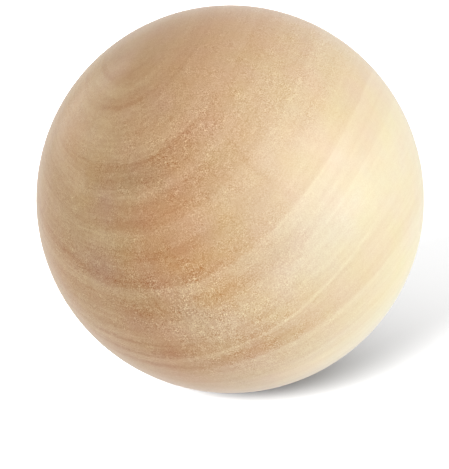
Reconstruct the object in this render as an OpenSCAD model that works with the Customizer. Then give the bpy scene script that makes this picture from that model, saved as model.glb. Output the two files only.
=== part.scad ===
// Turned wooden ball, such as the loose ball stopper of a carafe.
// It is one piece of solid wood, turned all round to a true sphere and sanded,
// with no hole, flat or join. The origin is the ball's centre. +Z points up,
// and the round mouth that the ball sits in rings its underside, at -Z.

/* [Ball] */
// Diameter of the finished ball
ball_d = 60; // [40:1:80]

/* [Hidden] */
// Every piece of the part, by name
// The piece to draw, or "all"
// Steps round one full turn of the ball
turn_steps = 96;
// Pale, fine-grained wood
wood_colour = [0.84, 0.73, 0.59];

// The half of a disc that lies to the right of its upright centre line
module half_round(radius) {
    intersection() {
        circle(r = radius, $fn = turn_steps);
        translate([0, -radius])
            square([radius, 2 * radius]);
    }
}

// The ball, a half round turned once about the upright centre line
module ball() {
    color(wood_colour)
        rotate_extrude($fn = turn_steps)
            half_round(ball_d / 2);
}

ball();
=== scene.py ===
"""A turned wooden ball, 60 mm across, on a plain pale studio floor.

The ball is one solid piece of pale hardwood under a thin coat of wax. Its figure is worked out inside
the wood: the growth rings, rays and fibres lie round the pith of the trunk that the blank was cut
from, and the ball's surface shows them wherever it cuts them.
"""

import logging
import math
from collections.abc import Iterable, Mapping, Sequence
from dataclasses import dataclass, field
from enum import Enum
from typing import Any

import bpy
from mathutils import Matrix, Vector


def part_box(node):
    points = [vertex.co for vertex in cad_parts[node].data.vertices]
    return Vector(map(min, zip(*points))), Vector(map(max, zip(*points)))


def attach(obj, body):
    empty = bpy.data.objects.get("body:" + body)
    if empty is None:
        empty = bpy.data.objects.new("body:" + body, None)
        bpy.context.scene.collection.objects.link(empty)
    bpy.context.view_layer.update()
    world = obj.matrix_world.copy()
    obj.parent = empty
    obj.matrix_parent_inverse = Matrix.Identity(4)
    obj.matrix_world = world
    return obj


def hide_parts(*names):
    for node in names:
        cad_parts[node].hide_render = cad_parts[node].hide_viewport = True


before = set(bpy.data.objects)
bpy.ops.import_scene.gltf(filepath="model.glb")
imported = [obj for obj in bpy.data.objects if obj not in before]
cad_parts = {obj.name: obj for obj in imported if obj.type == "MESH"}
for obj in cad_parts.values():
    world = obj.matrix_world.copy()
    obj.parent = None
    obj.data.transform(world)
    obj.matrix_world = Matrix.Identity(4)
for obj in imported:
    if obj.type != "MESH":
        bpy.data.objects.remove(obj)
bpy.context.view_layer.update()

log = logging.getLogger("wooden_ball")

Direction = tuple[float, float, float]
Colour = tuple[float, float, float]

MM = 0.001


class Maths(Enum):
    """What a Math node, or a Vector Math node, is asked to work out."""

    ADD = "ADD"
    SUBTRACT = "SUBTRACT"
    MULTIPLY = "MULTIPLY"
    ROOT = "SQRT"
    ANGLE = "ARCTAN2"
    EXPONENT = "EXPONENT"
    MOST = "MAXIMUM"


class Value:
    """One socket of a shader tree. Maths written on it adds the nodes that work it out."""

    def __init__(self, bench: "Bench", socket: bpy.types.NodeSocket) -> None:
        """Keeps the socket and the bench that it lies on."""
        self.bench = bench
        self.socket = socket

    def __add__(self, other: "Value | float | Sequence[float]") -> "Value":
        """Adds a number to a number, or a vector to a vector."""
        return self.bench.maths(Maths.ADD, self, other)

    __radd__ = __add__

    def __mul__(self, other: "Value | float | Sequence[float]") -> "Value":
        """Multiplies by a number, or a vector by a vector part by part."""
        return self.bench.maths(Maths.MULTIPLY, self, other)

    __rmul__ = __mul__

    def __sub__(self, other: "Value | float | Sequence[float]") -> "Value":
        """Takes the other away."""
        return self.bench.maths(Maths.SUBTRACT, self, other)

    def __rsub__(self, other: "Value | float | Sequence[float]") -> "Value":
        """Takes this away from the other."""
        return self.bench.maths(Maths.SUBTRACT, other, self)

    def dot(self, direction: Sequence[float]) -> "Value":
        """Measures a vector along a direction."""
        settings = {"operation": "DOT_PRODUCT"}
        return self.bench.node("ShaderNodeVectorMath", settings, {0: self, 1: direction}, "Value")


class Bench:
    """Lays nodes out in one shader tree."""

    def __init__(self, tree: bpy.types.NodeTree) -> None:
        """Clears the tree of a material or of the world, to start from nothing."""
        self.tree = tree
        tree.nodes.clear()

    def node(
        self,
        kind: str,
        settings: Mapping[str, Any] | None = None,
        inputs: Mapping[str | int, Any] | None = None,
        output: str | int = 0,
    ) -> Value:
        """Adds one node.

        Args:
            kind: The node's type, such as ShaderNodeTexNoise.
            settings: Its settings, which are made first. "stops" are a colour ramp's.
            inputs: What each socket, by name, identifier or number, holds or is linked to.
            output: The socket to hand back, by name, identifier or number.

        Returns:
            The chosen output, or the first input of a node that ends the tree.
        """
        made = self.tree.nodes.new(kind)
        for name, choice in (settings or {}).items():
            if name == "stops":
                self._set_stops(made.color_ramp, choice)
            else:
                setattr(made, name, choice)
        for key, value in (inputs or {}).items():
            self._fill(self._find(made.inputs, key), value)
        if not made.outputs:
            return Value(self, made.inputs[0])
        return Value(self, self._find(made.outputs, output))

    def maths(self, kind: Maths, *terms: "Value | float | Sequence[float]") -> Value:
        """Adds a Math node, or a Vector Math node where a term is a vector.

        Args:
            kind: What to work out.
            terms: The one or two terms to work on.

        Returns:
            The result.
        """
        inputs = dict(enumerate(terms))
        vectors = sum(self._is_vector(term) for term in terms)
        if vectors == 0:
            return self.node("ShaderNodeMath", {"operation": kind.value}, inputs)
        if kind is Maths.MULTIPLY and vectors < len(terms):
            number, vector = sorted(terms, key=self._is_vector)
            return self.scaled(vector, number)
        return self.node("ShaderNodeVectorMath", {"operation": kind.value}, inputs)

    def scaled(self, vector: "Value | Sequence[float]", number: "Value | float") -> Value:
        """Makes a vector longer or shorter."""
        inputs = {0: vector, "Scale": number}
        return self.node("ShaderNodeVectorMath", {"operation": "SCALE"}, inputs)

    def joined(self, x: "Value | float", y: "Value | float", z: "Value | float") -> Value:
        """Makes one vector of three numbers."""
        return self.node("ShaderNodeCombineXYZ", inputs={0: x, 1: y, 2: z})

    def mixed(self, low: Colour, high: Colour, share: Value) -> Value:
        """Mixes two colours, from all of the low one at 0 to all of the high one at 1."""
        inputs = {"Factor_Float": share, "A_Color": low, "B_Color": high}
        return self.node("ShaderNodeMix", {"data_type": "RGBA"}, inputs, "Result_Color")

    def noise(self, place: Value, octaves: float) -> Value:
        """Adds a noise that swings about 0, seldom past 0.6, once in each unit of its place."""
        inputs = {"Vector": place, "Scale": 1.0, "Detail": octaves}
        return self.node("ShaderNodeTexNoise", inputs=inputs) * 2.0 - 1.0

    @staticmethod
    def _is_vector(term: "Value | float | Sequence[float]") -> bool:
        """Says whether a term is a vector or a colour, and not a number."""
        kind = term.socket.type if isinstance(term, Value) else type(term)
        return kind not in ("VALUE", int, float)

    @staticmethod
    def _set_stops(ramp: bpy.types.ColorRamp, stops: Sequence[tuple[float, Colour]]) -> None:
        """Gives a ramp its stops.

        Args:
            ramp: The ramp of a new node, which has two stops of its own.
            stops: Each stop's place, 0 to 1, and its colour, in order.
        """
        ramp.elements.remove(ramp.elements[-1])
        ramp.elements[0].position = stops[0][0]
        ramp.elements[0].color = (*stops[0][1], 1.0)
        for position, colour in stops[1:]:
            ramp.elements.new(position).color = (*colour, 1.0)

    @staticmethod
    def _find(sockets: Sequence[bpy.types.NodeSocket], key: str | int) -> bpy.types.NodeSocket:
        """Finds a socket by its number, identifier or name."""
        found = (socket for socket in sockets if key in (socket.identifier, socket.name))
        return sockets[key] if isinstance(key, int) else next(found)

    def _fill(self, socket: bpy.types.NodeSocket, value: Any) -> None:
        """Fills one socket.

        Args:
            socket: An input of a new node.
            value: What to link to it, or the plain number, vector or colour to set on it.
        """
        if isinstance(value, Value):
            self.tree.links.new(value.socket, socket)
        elif socket.type == "RGBA":
            socket.default_value = (*value[:3], 1.0)
        else:
            socket.default_value = value


@dataclass(frozen=True)
class Trunk:
    """How the ball lay in the trunk that its blank was cut from.

    Outward points from the pith to the middle of the ball, pith_distance mm away. The trunk grew
    unevenly: the two growths are what each mm outwards or sideways adds to a ring's radius to give its
    even radius, the one that it would have in an evenly grown trunk. Sizes round the trunk are true at
    the arc radius, in mm.
    """

    grain: Direction = (-0.246, -0.953, -0.179)
    outward: Direction = (0.529, 0.023, -0.848)
    pith_distance: float = 56.1
    outward_growth: float = -0.25
    sideways_growth: float = -0.156
    arc_radius: float = 40.0

    def sideways(self) -> Direction:
        """Gives the direction round the trunk, square to the grain and to outward."""
        return tuple(Vector(self.grain).cross(Vector(self.outward)).normalized())


@dataclass(frozen=True)
class RingEdge:
    """A line between two growth rings: its even radius in mm, and the tone just inside and outside it."""

    radius: float
    inside: float
    outside: float


class Hue(Enum):
    """How far a tone of 1 moves the red, green and blue of the wood, each as a share of itself."""

    WOOD = (0.52, 1.0, 1.45)
    FINE = (0.55, 1.0, 1.35)
    WARM = (-0.4, 1.0, 2.0)
    WHITE = (-0.8, 1.0, 2.8)
    STRAW = (0.2, 0.2, -1.0)
    ROSE = (0.3, -0.7, 0.4)
    PLAIN = (1.0, 1.0, 1.0)


class Cut(Enum):
    """The sorts of surface that turning the ball gave it."""

    CLEAR = "clearly drawn rings"
    ROUGH = "speckled end grain"
    RAYED = "short rays"
    LINED = "fine threads along the rings"


@dataclass(frozen=True)
class Patch:
    """A stretch of the rings with a tone of its own, strongest in its middle.

    The middle lies at an even radius in mm and at an angle in degrees round the pith. The width in mm
    and the sweep in degrees are how far off the tone is down to about a third. Above 0 it is lighter,
    or there is more of a sort of surface. The slant is how many mm further out the patch lies for each
    degree.
    """

    radius: float
    angle: float
    width: float
    sweep: float
    tone: float
    slant: float = 0.0
    hue: Hue = Hue.WOOD


@dataclass(frozen=True)
class Sector:
    """A sector of the trunk, in degrees round the pith, that has more of something than elsewhere."""

    angle: float
    sweep: float
    more: float
    elsewhere: float


@dataclass(frozen=True)
class Noise:
    """An uneven pattern all through the wood.

    The size is in mm, the same every way or else outwards, round and along the trunk. The octaves are
    how many finer layers lie on the first.
    """

    size: float | Direction
    octaves: float
    strength: float = 1.0


@dataclass(frozen=True)
class Texture:
    """A fine noise, with its strength on each sort of surface and all over."""

    noise: Noise
    strengths: Mapping[Cut, float]
    all_over: float = 0.0


class Timber:
    """The wood's place in its trunk at each point, worked out by the nodes of one shader tree."""

    def __init__(self, bench: Bench, trunk: Trunk, ragged: Noise) -> None:
        """Lays out the nodes that work the places out.

        Args:
            bench: Where the nodes go.
            trunk: How the wood lay in its trunk.
            ragged: How ragged the ends of patches are, as a share of their sweep.
        """
        self.bench = bench
        self.place = bench.node("ShaderNodeTexCoord", output="Object") * (1.0 / MM)
        outward = self.place.dot(trunk.outward) + trunk.pith_distance
        sideways = self.place.dot(trunk.sideways())
        distance = bench.maths(Maths.ROOT, outward * outward + sideways * sideways)
        angle = bench.maths(Maths.ANGLE, sideways, outward)
        self.radius = distance + outward * trunk.outward_growth + sideways * trunk.sideways_growth
        self.degrees = angle * math.degrees(1.0)
        self.arc = angle * trunk.arc_radius
        self.along = self.place.dot(trunk.grain)
        self.ragged = self.noise(ragged)

    def noise(self, noise: Noise) -> Value:
        """Lays out a noise.

        Args:
            noise: Its size, octaves and strength.

        Returns:
            A number that swings about 0.
        """
        if isinstance(noise.size, tuple):
            ways = zip((self.radius, self.arc, self.along), noise.size)
            place = self.bench.joined(*(way * (1 / size) for way, size in ways))
        else:
            place = self.place * (1 / noise.size)
        return self.bench.noise(place, noise.octaves) * noise.strength

    def texture(self, texture: Texture, maps: Mapping[Cut, Value]) -> Value:
        """Lays out a texture, as strong as each point's sorts of surface make it."""
        strength = sum((maps[cut] * share for cut, share in texture.strengths.items()), texture.all_over)
        return self.noise(texture.noise) * strength

    def sector(self, sector: Sector) -> Value:
        """Lays out a sector, strongest in its middle."""
        off = (self.degrees - sector.angle) * (1 / sector.sweep)
        return self.bench.maths(Maths.EXPONENT, off * off * -1.0) * sector.more + sector.elsewhere

    def patch(self, radius: Value, patch: Patch) -> Value:
        """Lays out one patch.

        Args:
            radius: The even radius at each point, in mm, which may have been made to wander.
            patch: The patch.

        Returns:
            Its tone, strongest in its middle.
        """
        turn = self.degrees - patch.angle
        across = (radius - patch.radius - turn * patch.slant) * (1 / patch.width)
        round_it = turn * (1 / patch.sweep) + self.ragged
        closeness = self.bench.maths(Maths.EXPONENT, (across * across + round_it * round_it) * -1.0)
        return closeness * patch.tone

    def patches(self, radius: Value, patches: Iterable[Patch]) -> Value:
        """Adds patches up."""
        return sum((self.patch(radius, patch) for patch in patches), 0.0)


@dataclass(frozen=True)
class Rings:
    """The growth rings. An edge goes from tone to tone in edge_width mm, and no tone is past strongest."""

    edges: tuple[RingEdge, ...] = (
        RingEdge(19.0, 0.00, 0.00),
        RingEdge(20.8, -0.03, 0.00),
        RingEdge(22.5, -0.08, 0.02),
        RingEdge(26.9, 0.06, -0.10),
        RingEdge(29.3, -0.03, 0.01),
        RingEdge(30.3, 0.07, -0.04),
        RingEdge(33.5, -0.05, 0.09),
        RingEdge(35.7, 0.04, -0.04),
        RingEdge(37.8, -0.02, -0.03),
        RingEdge(40.4, -0.08, 0.10),
        RingEdge(42.0, 0.03, -0.01),
        RingEdge(44.0, -0.01, 0.03),
        RingEdge(47.8, 0.03, 0.00),
        RingEdge(53.2, -0.06, 0.02),
        RingEdge(56.4, 0.05, 0.09),
        RingEdge(61.0, 0.16, 0.05),
    )
    edge_width: float = 0.25
    strongest: float = 0.2

    def tone(self, bench: Bench, radius: Value) -> Value:
        """Reads the rings' tone off a ramp, on which middle grey is a tone of 0.

        Args:
            bench: Where the nodes go.
            radius: The even radius at each point, in mm.

        Returns:
            How much lighter, or darker below 0, each point is.
        """
        first, last = self.edges[0].radius, self.edges[-1].radius
        stops = []
        for edge in self.edges:
            for side, tone in ((-1, edge.inside), (1, edge.outside)):
                place = (edge.radius + side * self.edge_width / 2 - first) / (last - first)
                level = 0.5 + tone / self.strongest / 2
                stops.append((place, (level, level, level)))
        # The first and last stops would lie off the ramp's ends, so they are left out.
        share = (radius - first) * (1 / (last - first))
        ramp = bench.node("ShaderNodeValToRGB", {"stops": stops[1:-1]}, {0: share})
        return (ramp.dot((1 / 3, 1 / 3, 1 / 3)) - 0.5) * (2 * self.strongest)


@dataclass(frozen=True)
class Figure:
    """What is drawn on the rings: patches of tone, narrow lines, and where each sort of surface lies."""

    patches: tuple[Patch, ...] = (
        # Dark.
        Patch(27.8, 4, 1.0, 7, -0.07),
        Patch(26.3, -18, 1.8, 6, -0.18),
        Patch(31.5, 6, 0.7, 4, -0.06),
        Patch(32.7, -1, 0.9, 4.5, -0.10),
        Patch(34.5, 1, 0.8, 3, -0.11),
        Patch(35.4, -5, 0.6, 3, -0.10),
        Patch(36.3, 1, 0.9, 6, -0.10),
        Patch(38.2, -24, 0.9, 5, -0.08),
        Patch(39.0, -17, 0.8, 9, -0.17, 0.10),
        Patch(39.2, 7, 1.0, 5, -0.04),
        Patch(39.6, -7, 0.8, 4, -0.08),
        Patch(43.8, -7.5, 1.0, 4, -0.15),
        Patch(43.8, -22, 2.0, 5, -0.07),
        Patch(43.0, 6.5, 0.8, 4, -0.10),
        Patch(50.1, -6.5, 0.9, 3, -0.22),
        Patch(50.1, 5, 0.6, 4, -0.18),
        Patch(52.0, 3.5, 0.8, 5.5, -0.20),
        Patch(53.3, -6.5, 0.6, 3, -0.15),
        # Pale.
        Patch(24.8, -4, 1.5, 5, 0.06),
        Patch(29.3, -13, 1.3, 3, 0.08),
        Patch(31.5, -13, 1.6, 6, 0.09),
        Patch(32.8, -13, 1.0, 5, 0.09),
        Patch(34.4, -10, 1.0, 4, 0.10),
        Patch(39.4, 1, 0.8, 2.5, 0.08),
        Patch(41.3, 1.5, 0.7, 3, 0.16),
        Patch(40.6, -16, 0.8, 8, 0.11),
        Patch(44.0, 0.5, 1.2, 2.5, 0.08),
        Patch(46.3, -2, 1.5, 3, 0.12),
        Patch(48.4, 0, 0.7, 2.5, 0.08),
        Patch(53.3, 2, 0.5, 5, 0.07),
        Patch(47.0, 3, 0.6, 2, 0.14),
        Patch(45.5, 17, 2.2, 6, 0.06),
        Patch(54.7, -2, 0.9, 5, 0.08),
        # Broad and dark.
        Patch(46.0, -8.5, 4.5, 4, -0.11),
        Patch(38.0, 5, 2.0, 8, -0.04),
        # Warmer below 0.
        Patch(35.0, 3, 8.0, 11, -0.045, 0, Hue.WARM),
        # Whiter.
        Patch(44.5, 0, 3.0, 3.5, 0.03, 0, Hue.WHITE),
        # A painted highlight of the window lamp.
        Patch(43.0, 20, 6.0, 7, 0.03, 0, Hue.WHITE),
        # Yellower, or bluer below 0.
        Patch(25.5, -17, 4.5, 8, 0.18, 0, Hue.STRAW),
        Patch(22.0, -7, 2.0, 7, 0.09, 0, Hue.STRAW),
        Patch(28.5, 2, 2.0, 7, -0.19, 0, Hue.STRAW),
        Patch(30.5, -7, 2.5, 4, -0.13, 0, Hue.STRAW),
        Patch(23.5, 13, 2.0, 5, -0.06, 0, Hue.STRAW),
        Patch(38.4, 5.5, 1.3, 4, 0.09, 0, Hue.STRAW),
        Patch(38.5, -12, 3.5, 5, -0.10, 0, Hue.STRAW),
        Patch(43.5, 6, 2.0, 3, 0.09, 0, Hue.STRAW),
        Patch(41.5, -21, 4.0, 4, 0.05, 0, Hue.STRAW),
        Patch(45.0, 17, 3.0, 5, -0.05, 0, Hue.STRAW),
        Patch(57.0, 16, 2.5, 5, 0.09, 0, Hue.STRAW),
        # Pinker, or greener below 0.
        Patch(24.5, -14, 2.5, 6, 0.05, 0, Hue.ROSE),
        Patch(37.0, -24, 8.0, 5, 0.04, 0, Hue.ROSE),
        Patch(28.5, 2, 2.0, 9, -0.09, 0, Hue.ROSE),
        Patch(34.0, -7, 2.5, 5, -0.04, 0, Hue.ROSE),
        Patch(41.0, -7, 2.5, 5, -0.04, 0, Hue.ROSE),
        # Lighter in every colour: a painted reflection of the white floor along the lower right rim.
        Patch(58.8, 4, 2.0, 4.5, 0.12, 0, Hue.PLAIN),
    )
    lines: tuple[Patch, ...] = (
        # Narrow rings.
        Patch(20.3, 5, 0.35, 9, -0.08),
        Patch(20.7, -4, 0.25, 6, -0.08),
        Patch(21.4, 6, 0.3, 12, 0.08),
        Patch(22.4, 3, 0.22, 9, -0.14),
        Patch(22.8, 18, 0.2, 6, -0.12),
        Patch(23.3, 6, 0.3, 12, 0.04),
        Patch(24.6, 9, 0.2, 11, -0.05),
        Patch(26.2, 8, 0.3, 14, 0.05),
        Patch(28.3, -2, 0.15, 8, 0.05),
        Patch(28.9, 8, 0.3, 14, -0.02),
        Patch(29.3, -3, 0.15, 9, 0.08),
        Patch(30.0, 4, 0.3, 12, 0.08, -0.02),
        Patch(46.6, -17, 0.3, 8, -0.16),
        Patch(47.8, -15, 0.35, 8, 0.15),
        Patch(47.9, 7, 0.35, 3, -0.09, -0.08),
        Patch(48.8, -13, 0.3, 8, -0.20),
        Patch(49.7, -16, 0.4, 6, 0.14),
        Patch(51.0, -15, 0.3, 7, -0.20),
        Patch(51.7, -13, 0.25, 5, 0.08),
        Patch(52.8, -13, 0.4, 6, -0.20),
        # Pale streaks that cut across the rings a little.
        Patch(50.4, 4, 0.2, 14, 0.22, -0.084),
        Patch(51.5, -5, 0.2, 6, 0.15, -0.084),
        # Streaks along the rays.
        Patch(34.5, 21.6, 4.5, 0.45, -0.09),
        Patch(42.0, -4.3, 2.5, 0.5, -0.14, -0.3),
        Patch(38.0, 27, 6.0, 0.4, 0.04),
    )
    rough: tuple[Patch, ...] = (
        Patch(42.5, 0, 7.5, 9, 0.70),
        Patch(27.5, 14, 6.0, 17, 0.59),
        Patch(39.0, 13, 8.0, 8, 0.25),
        Patch(52.0, 1, 5.0, 9, 0.35),
        Patch(36.0, -13, 20.0, 13, 0.36),
        Patch(48.5, -17, 5.0, 7, 0.25),
        Patch(39.0, -20, 4.0, 6, 0.25),
        Patch(33.5, 31, 4.5, 5, 0.26),
        Patch(40.0, -60, 25.0, 25, 0.2),
    )
    lined: tuple[Patch, ...] = (
        Patch(36.0, -17, 22.0, 13, 0.9),
        Patch(26.5, 2, 4.0, 9, 0.6),
        Patch(21.5, 4, 2.0, 12, 0.6),
        Patch(45.5, -1, 5.0, 6, 0.4),
        Patch(40.0, -60, 25.0, 25, 0.7),
    )
    rayed: tuple[Patch, ...] = (Patch(44.0, -1, 4.5, 4.5, 1.0),)
    clear: Sector = Sector(angle=3.0, sweep=18.0, more=0.9, elsewhere=0.4)


@dataclass(frozen=True)
class PaleWood:
    """The finish of the ball: pale hardwood, turned, sanded and thinly waxed.

    Its base colour goes from far_side_heart to sap_and_light in the direction of light_and_sap_way,
    over light_and_sap_width mm. Partly this is the wood's own change from heartwood to sapwood and
    partly painted light: the side toward the window lamp is made paler. Wander moves the rings, and
    torn the sides of the patches, by so many mm, and ragged moves the patches' ends by that share of
    their sweep. Blotchy makes the patches uneven, patchy does so to the speckle, and straw and rose
    tint the wood. There is least_rough of the speckle everywhere. The bump's height is in metres.
    """

    trunk: Trunk = Trunk()
    rings: Rings = Rings()
    figure: Figure = Figure()
    # Base colours: the pale sap_and_light side is partly painted light from the window lamp's side, and
    # the middle colour is darker than either end.
    far_side_heart: Colour = (0.795, 0.505, 0.228)
    middle: Colour = (0.75, 0.45, 0.235)
    sap_and_light: Colour = (0.80, 0.69, 0.465)
    light_and_sap_way: Direction = (0.95, -0.31, 0.0)
    light_and_sap_width: float = 60.0
    wander: tuple[Noise, ...] = (Noise(12.0, 1, 0.2), Noise(2.5, 1, 0.15))
    torn: Noise = Noise(1.1, 1, 0.5)
    ragged: Noise = Noise(3.0, 1, 0.5)
    blotchy: Noise = Noise(1.6, 2, 0.6)
    patchy: Noise = Noise(1.8, 1, 1.2)
    straw: Noise = Noise(4.5, 1, 0.07)
    rose: Noise = Noise(5.5, 1, 0.05)
    least_rough: float = 0.06
    fuzz: Texture = Texture(Noise(0.17, 0), {Cut.ROUGH: 1.0})
    fibres: Texture = Texture(Noise((0.2, 1.2, 3.0), 0), {Cut.ROUGH: 0.15}, all_over=0.01)
    rays: Texture = Texture(Noise((2.0, 0.3, 2.0), 0), {Cut.RAYED: 0.3})
    mottle: Texture = Texture(Noise(0.8, 1), {Cut.ROUGH: 0.25, Cut.LINED: 0.06}, all_over=0.01)
    ripple: Texture = Texture(Noise((0.7, 14.0, 30.0), 2), {Cut.CLEAR: 0.1})
    threads: Texture = Texture(Noise((0.35, 6.0, 20.0), 1), {Cut.LINED: 0.24})
    bump_height: float = 0.00002
    roughness: float = 0.6
    gloss: float = 0.1
    wax: float = 0.8
    wax_roughness: float = 0.25
    wax_ior: float = 1.45

    def material(self) -> bpy.types.Material:
        """Makes the wood.

        Returns:
            A material that reads Object coordinates.
        """
        made = bpy.data.materials.new("pale_wood")
        made.use_nodes = True
        bench = Bench(made.node_tree)
        timber = Timber(bench, self.trunk, self.ragged)
        maps = self._maps(timber)
        speckle = sum(timber.texture(texture, maps) for texture in (self.fuzz, self.fibres, self.rays))
        tones = self._tones(timber, speckle, maps)
        height = {"Strength": 1.0, "Distance": self.bump_height, "Height": speckle}
        inputs = {
            "Base Color": self._base(timber) * self._shade(bench, tones),
            "Roughness": self.roughness,
            "Specular IOR Level": self.gloss,
            "Coat Weight": self.wax,
            "Coat Roughness": self.wax_roughness,
            "Coat IOR": self.wax_ior,
            "Normal": bench.node("ShaderNodeBump", inputs=height),
        }
        shader = bench.node("ShaderNodeBsdfPrincipled", inputs=inputs)
        bench.node("ShaderNodeOutputMaterial", inputs={"Surface": shader})
        return made

    def _maps(self, timber: Timber) -> dict[Cut, Value]:
        """Maps the sorts of surface.

        Args:
            timber: The wood's place in its trunk.

        Returns:
            How much of each sort each point has, 0 for none.
        """
        patchy = timber.noise(self.patchy) + 1.0
        return {
            Cut.CLEAR: timber.sector(self.figure.clear),
            Cut.ROUGH: timber.patches(timber.radius, self.figure.rough) * patchy + self.least_rough,
            Cut.RAYED: timber.patches(timber.radius, self.figure.rayed),
            Cut.LINED: timber.patches(timber.radius, self.figure.lined),
        }

    def _tones(self, timber: Timber, speckle: Value, maps: Mapping[Cut, Value]) -> dict[Hue, Value]:
        """Works out the tones of the rings, the patches and everything fine.

        Args:
            timber: The wood's place in its trunk.
            speckle: The speckle, which stands up a little too.
            maps: How much of each sort of surface each point has.

        Returns:
            The tone of each hue.
        """
        ring = sum((timber.noise(noise) for noise in self.wander), timber.radius)
        torn = ring + timber.noise(self.torn)
        tones = {}
        for hue in Hue:
            tones[hue] = timber.patches(torn, (patch for patch in self.figure.patches if patch.hue is hue))
        blotchy = timber.noise(self.blotchy) + 1.0
        tones[Hue.WOOD] = tones[Hue.WOOD] * blotchy + self.rings.tone(timber.bench, ring) * maps[Cut.CLEAR]
        tones[Hue.STRAW] = tones[Hue.STRAW] + timber.noise(self.straw)
        tones[Hue.ROSE] = tones[Hue.ROSE] + timber.noise(self.rose)
        # The exponent makes the pale specks stronger than the dark ones.
        specks = timber.bench.maths(Maths.EXPONENT, speckle + timber.texture(self.mottle, maps)) - 1.0
        stripes = timber.texture(self.ripple, maps) + timber.texture(self.threads, maps)
        tones[Hue.FINE] = specks + timber.patches(ring, self.figure.lines) + stripes
        return tones

    def _base(self, timber: Timber) -> Value:
        """Fades the base colour from far_side_heart to sap_and_light, with the middle colour at the middle
        of the ball. The paler side is partly painted light from the window lamp's side.

        Args:
            timber: The wood's place in its trunk.

        Returns:
            The colour at each point.
        """
        # Partly painted light: the colour grows paler toward the window lamp's side of the ball.
        share = timber.place.dot(self.light_and_sap_way) * (1 / self.light_and_sap_width) + 0.5
        stops = ((0.0, self.far_side_heart), (0.5, self.middle), (1.0, self.sap_and_light))
        return timber.bench.node("ShaderNodeValToRGB", {"stops": stops}, {0: share})

    @staticmethod
    def _shade(bench: Bench, tones: Mapping[Hue, Value]) -> Value:
        """Turns the tones into what the base colour is multiplied by, 1 where all tones are 0."""
        return sum((bench.scaled(hue.value, tone) for hue, tone in tones.items()), (1.0, 1.0, 1.0))


@dataclass(frozen=True)
class Strip:
    """A row of three cube faces, unwrapped side by side: each face's way out and way across."""

    faces: tuple[tuple[Direction, Direction], ...]


@dataclass
class TurnedBall:
    """The ball: a true sphere, turned from one blank. Its size is that of the CAD node.

    The blank is a cube, halved each way as often as halvings says and rounded each time. The map's
    margin is a share of its side.
    """

    node: str = "ball"
    body: str = "root"
    slot: str = "pale_wood"
    halvings: int = 6
    map_margin: float = 0.006
    wood: PaleWood = PaleWood()
    strips: tuple[Strip, ...] = (
        Strip((((-1, 0, 0), (0, -1, 0)), ((0, -1, 0), (1, 0, 0)), ((1, 0, 0), (0, 1, 0)))),
        Strip((((0, 0, 1), (0, 1, 0)), ((0, 1, 0), (0, 0, -1)), ((0, 0, -1), (0, -1, 0)))),
    )
    radius: float = field(init=False)

    def __post_init__(self) -> None:
        """Takes the radius from the CAD node."""
        low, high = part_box(self.node)
        self.radius = (high[2] - low[2]) / 2

    def build(self) -> bpy.types.Object:
        """Models the ball.

        Returns:
            The ball, which stands for the CAD node.
        """
        bpy.ops.object.select_all(action="DESELECT")
        bpy.ops.mesh.primitive_cube_add(size=2 * self.radius)
        ball = bpy.context.object
        ball.name = "turned_ball"
        self._unwrap(ball)
        for _ in range(self.halvings):
            bpy.ops.object.mode_set(mode="EDIT")
            bpy.ops.mesh.select_all(action="SELECT")
            bpy.ops.mesh.subdivide(number_cuts=1)
            bpy.ops.object.mode_set(mode="OBJECT")
            self._round(ball)
        bpy.ops.object.shade_smooth()
        ball.data.materials.append(self.wood.material())
        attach(ball, self.body)
        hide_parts(self.node)
        return ball

    def _round(self, ball: bpy.types.Object) -> None:
        """Casts the blank on to the sphere.

        Args:
            ball: The ball, as round as it is yet.
        """
        cast = ball.modifiers.new("turned round", "CAST")
        cast.cast_type = "SPHERE"
        cast.factor = 1.0
        cast.use_radius_as_size = False
        cast.size = self.radius
        bpy.ops.object.modifier_apply(modifier=cast.name)

    def _unwrap(self, ball: bpy.types.Object) -> None:
        """Lays the blank's six faces out as two strips of three, as a tennis ball's cover is cut.

        Args:
            ball: The ball while it is still a cube.
        """
        mesh = ball.data
        for layer in list(mesh.uv_layers):
            mesh.uv_layers.remove(layer)
        layer = mesh.uv_layers.new(name="OFBake")
        margin = self.map_margin
        width = (1 - 2 * margin) / 3
        height = (1 - 3 * margin) / 2
        places = {}
        for row, strip in enumerate(self.strips):
            for column, (out, across) in enumerate(strip.faces):
                places[out] = (Vector(across), margin + column * width, margin + row * (height + margin))
        for face in mesh.polygons:
            out = tuple(round(part) for part in face.normal)
            across, left, bottom = places[out]
            up = Vector(out).cross(across)
            for corner in face.loop_indices:
                point = mesh.vertices[mesh.loops[corner].vertex_index].co / self.radius
                layer.data[corner].uv = (
                    left + (point.dot(across) + 1) / 2 * width,
                    bottom + (point.dot(up) + 1) / 2 * height,
                )


def direction(azimuth: float, elevation: float) -> Vector:
    """Gives the way from the ball to a place, in degrees from the front to the right and up."""
    turn, rise = math.radians(azimuth), math.radians(elevation)
    return Vector((math.sin(turn) * math.cos(rise), -math.cos(turn) * math.cos(rise), math.sin(rise)))


@dataclass(frozen=True)
class Lamp:
    """A lamp that faces the ball. Its angles are in degrees, from the front to the right and up."""

    name: str
    azimuth: float
    elevation: float
    power: float

    def _face_ball(self, kind: str, distance: float, lit: bpy.types.Collection) -> bpy.types.Object:
        """Adds the lamp and turns it to the ball.

        Args:
            kind: The sort of light.
            distance: How far off it hangs, in metres.
            lit: What it lights.

        Returns:
            The lamp.
        """
        out = direction(self.azimuth, self.elevation)
        bpy.ops.object.light_add(type=kind, location=out * distance)
        lamp = bpy.context.object
        lamp.name = self.name
        lamp.data.energy = self.power
        lamp.rotation_euler = out.to_track_quat("Z", "Y").to_euler()
        lamp.light_linking.receiver_collection = lit
        return lamp


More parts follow.
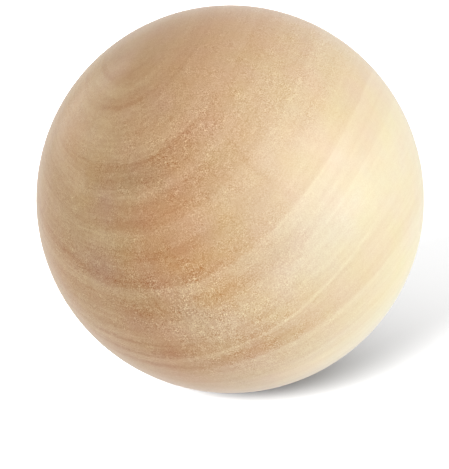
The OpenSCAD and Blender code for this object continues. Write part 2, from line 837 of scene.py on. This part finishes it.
@dataclass(frozen=True)
class Softbox(Lamp):
    """A square lamp near the ball. Its distance and side are in metres, and its power in watts."""

    distance: float
    side: float

    def hang(self, lit: bpy.types.Collection) -> None:
        """Hangs the softbox, unseen by the camera.

        Args:
            lit: What it lights.
        """
        lamp = self._face_ball("AREA", self.distance, lit)
        lamp.data.shape = "SQUARE"
        lamp.data.size = self.side
        lamp.visible_camera = False


@dataclass(frozen=True)
class FarLamp(Lamp):
    """A lamp far off, as wide as its spread in degrees. Its power is in watts to the square metre."""

    spread: float

    def hang(self, lit: bpy.types.Collection) -> None:
        """Hangs the lamp. Its light comes from far off wherever it hangs."""
        lamp = self._face_ball("SUN", 1.0, lit)
        lamp.data.angle = math.radians(self.spread)


@dataclass
class Studio:
    """The floor, lamps, world and camera.

    The softboxes light the ball alone, and the floor lamps the floor. The floor gives the ball only a
    share of its colour, floor_bounce, and is pure white where the wax mirrors it. The camera's elevation
    is in degrees, its distance and the nearest and furthest that it sees are in metres, its lens and
    sensor in mm, and the middle of the ball in pixels from the frame's top left corner.
    """

    floor_height: float
    floor_side: float = 8.0
    floor_colour: float = 0.25
    floor_bounce: float = 0.28
    world_light: float = 0.2
    floor_lamps: tuple[FarLamp, ...] = (
        FarLamp("key", -35, 25, 47.0, spread=35),
        FarLamp("sky", 0, 90, 12.5, spread=180),
    )
    softboxes: tuple[Softbox, ...] = (
        Softbox("window", 62, 17, 6.3, distance=0.9, side=1.0),
        Softbox("screen", 45, 20, 3.2, distance=0.9, side=1.0),
        Softbox("top", 20, 75, 1.4, distance=0.9, side=0.9),
        Softbox("rim", -121, 9, 2.3, distance=0.9, side=0.8),
    )
    camera_elevation: float = 20.0
    camera_distance: float = 0.6
    nearest: float = 0.01
    furthest: float = 50.0
    lens: float = 297.5
    sensor: float = 36.0
    frame_width: int = 449
    frame_height: int = 469
    ball_x: float = 230.1
    ball_y: float = 199.1

    def build(self, ball: bpy.types.Object) -> None:
        """Sets up the whole studio.

        Args:
            ball: What the softboxes light.
        """
        floor = self._lay_floor()
        self._light_world()
        for name, lamps, thing in (
            ("lit by the softboxes", self.softboxes, ball),
            ("lit by the floor lamps", self.floor_lamps, floor),
        ):
            lit = bpy.data.collections.new(name)
            lit.objects.link(thing)
            for lamp in lamps:
                lamp.hang(lit)
        self._set_camera()
        bpy.context.scene.view_settings.view_transform = "Standard"

    def _lay_floor(self) -> bpy.types.Object:
        """Lays a plain matt floor under the ball.

        Returns:
            The floor.
        """
        bpy.ops.object.select_all(action="DESELECT")
        bpy.ops.mesh.primitive_plane_add(size=self.floor_side, location=(0, 0, self.floor_height))
        floor = bpy.context.object
        floor.name = "floor"
        material = bpy.data.materials.new("floor")
        material.use_nodes = True
        material.cycles.emission_sampling = "NONE"
        bench = Bench(material.node_tree)
        straight, mirrored = self._seen(bench)
        plain = (self.floor_colour,) * 3
        dim = (self.floor_colour * self.floor_bounce,) * 3
        matt = bench.node("ShaderNodeBsdfDiffuse", inputs={"Color": bench.mixed(dim, plain, straight)})
        white = bench.node("ShaderNodeEmission", inputs={"Color": (1, 1, 1), "Strength": 1.0})
        shader = bench.node("ShaderNodeMixShader", inputs={"Fac": mirrored, 1: matt, 2: white})
        bench.node("ShaderNodeOutputMaterial", inputs={"Surface": shader})
        floor.data.materials.append(material)
        return floor

    @staticmethod
    def _seen(bench: Bench) -> tuple[Value, Value]:
        """Asks how the camera sees a surface.

        Args:
            bench: Where the nodes go.

        Returns:
            1 where it is seen straight, and 1 where it is seen mirrored or through something, or else 0.
        """
        straight = bench.node("ShaderNodeLightPath", output="Is Camera Ray")
        mirrored = bench.node("ShaderNodeLightPath", output="Is Glossy Ray")
        through = bench.node("ShaderNodeLightPath", output="Is Transmission Ray")
        return straight, bench.maths(Maths.MOST, mirrored, through)

    def _light_world(self) -> None:
        """Surrounds the ball with a world that is pure white to look at and lights it weakly."""
        world = bpy.data.worlds.new("studio")
        world.use_nodes = True
        bench = Bench(world.node_tree)
        seen = bench.maths(Maths.MOST, *self._seen(bench))
        strength = seen * (1.0 - self.world_light) + self.world_light
        shader = bench.node("ShaderNodeBackground", inputs={"Color": (1, 1, 1), "Strength": strength})
        bench.node("ShaderNodeOutputWorld", inputs={"Surface": shader})
        bpy.context.scene.world = world

    def _set_camera(self) -> None:
        """Aims the camera so that the ball stands where it should in the frame."""
        place = direction(0, self.camera_elevation) * self.camera_distance
        bpy.ops.object.camera_add(location=place)
        camera = bpy.context.object
        camera.data.lens = self.lens
        camera.data.sensor_width = self.sensor
        camera.data.clip_start = self.nearest
        camera.data.clip_end = self.furthest
        bpy.context.scene.camera = camera
        pixel = self.sensor / max(self.frame_width, self.frame_height) / self.lens
        right = (self.ball_x - self.frame_width / 2) * pixel
        up = (self.frame_height / 2 - self.ball_y) * pixel
        look = (-place).to_track_quat("-Z", "Y")
        turn = Vector((right, up, -1.0)).rotation_difference(Vector((0, 0, -1)))
        camera.rotation_euler = (look @ turn).to_euler()


def main() -> None:
    """Builds the ball and the studio round it."""
    logging.basicConfig(level=logging.INFO)
    turned = TurnedBall()
    ball = turned.build()
    log.info("%s: %d faces, %.1f mm across", ball.name, len(ball.data.polygons), 2 * turned.radius / MM)
    Studio(floor_height=-turned.radius).build(ball)


if __name__ == "__main__":
    main()
